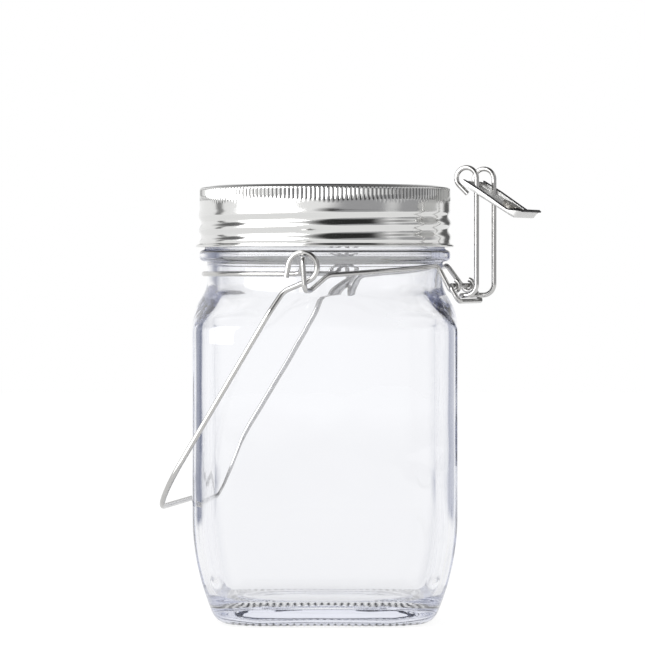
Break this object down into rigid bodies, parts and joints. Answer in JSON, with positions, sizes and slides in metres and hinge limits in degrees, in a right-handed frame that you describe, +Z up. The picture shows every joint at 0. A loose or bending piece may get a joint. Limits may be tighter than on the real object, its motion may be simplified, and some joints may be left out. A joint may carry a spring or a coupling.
{
  "type": "mason jar lantern",
  "caption": "Clear square preserving jar made into a solar lantern, with a screw band, a solar module in its mouth, a wire carrying handle and a hinged wire clip.",
  "frame": {"origin": "centre of the flat ring the jar stands on", "axes": "+Z up along the jar's axis, +X towards the clip's side, -X towards the side the handle hangs on, +Y towards the back of the picture"},
  "size_m": [0.155, 0.1299, 0.1851],
  "materials": {
    "clear_glass": "polished",
    "window_plastic": "polished",
    "lid_steel": "gloss",
    "wire_steel": "satin",
    "plate_steel": "satin",
    "magnet_nickel": "satin",
    "seal_rubber": "matte",
    "white_plastic": "satin",
    "board_green": "satin",
    "cell_blue": "gloss",
    "lamp_lens": "gloss",
    "chip_black": "matte",
    "battery_sleeve": "gloss",
    "contact_metal": "satin"
  },
  "bodies": {
    "jar": {"glass_jar": "clear_glass", "neck_wire": "wire_steel"},
    "handle": {"handle": "wire_steel"},
    "ring": {"hinge_ring": "wire_steel"},
    "link": {"clip_link": "wire_steel"},
    "plate": {"clip_plate": "plate_steel", "clip_pin": "wire_steel", "clip_magnet": "magnet_nickel"},
    "seal": {"seal_ring": "seal_rubber"},
    "module": {"module_housing": "white_plastic", "panel_window": "window_plastic", "solar_board": "board_green", "solar_cells": "cell_blue", "led_board": "board_green", "leds": "lamp_lens", "board_pins": "contact_metal", "driver_chip": "chip_black", "reed_switch": "clear_glass", "battery_cells": "battery_sleeve", "battery_contacts": "contact_metal", "battery_cover": "white_plastic", "cover_screws": "wire_steel"},
    "band": {"screw_band": "lid_steel"}
  },
  "joints": [
    {"name": "handle_swing", "type": "hinge", "parent": "jar", "child": "handle", "pos_m": [0, 0, 0.1473], "axis": [0.1564, 0.9877, 0], "range_deg": [0, 295]},
    {"name": "ring_swing", "type": "hinge", "parent": "jar", "child": "ring", "pos_m": [0.05538, -0.01273, 0.1365], "axis": [-0.309, -0.9511, 0], "range_deg": [-5, 9]},
    {"name": "link_swing", "type": "hinge", "parent": "ring", "child": "link", "pos_m": [0.05899, -0.01391, 0.1302], "axis": [0.309, 0.9511, 0], "range_deg": [-8, 120]},
    {"name": "plate_swing", "type": "hinge", "parent": "link", "child": "plate", "pos_m": [0.06108, -0.01459, 0.1779], "axis": [-0.309, -0.9511, 0], "range_deg": [0, 207]},
    {"name": "lid_lift", "type": "slide", "parent": "jar", "child": "seal", "axis": [0, 0, 1], "range_m": [0, 0.08]},
    {"name": "thread_rise", "type": "slide", "parent": "seal", "child": "module", "axis": [0, 0, 1], "range_m": [0, 0.0063]},
    {"name": "lid_turn", "type": "hinge", "parent": "module", "child": "band", "pos_m": [0, 0, 0.1766], "axis": [0, 0, 1], "range_deg": [0, 450]}
  ],
  "couplings": [
    {"joint": "thread_rise", "follows": "lid_turn", "m_per_rad": 0.0008}
  ]
}
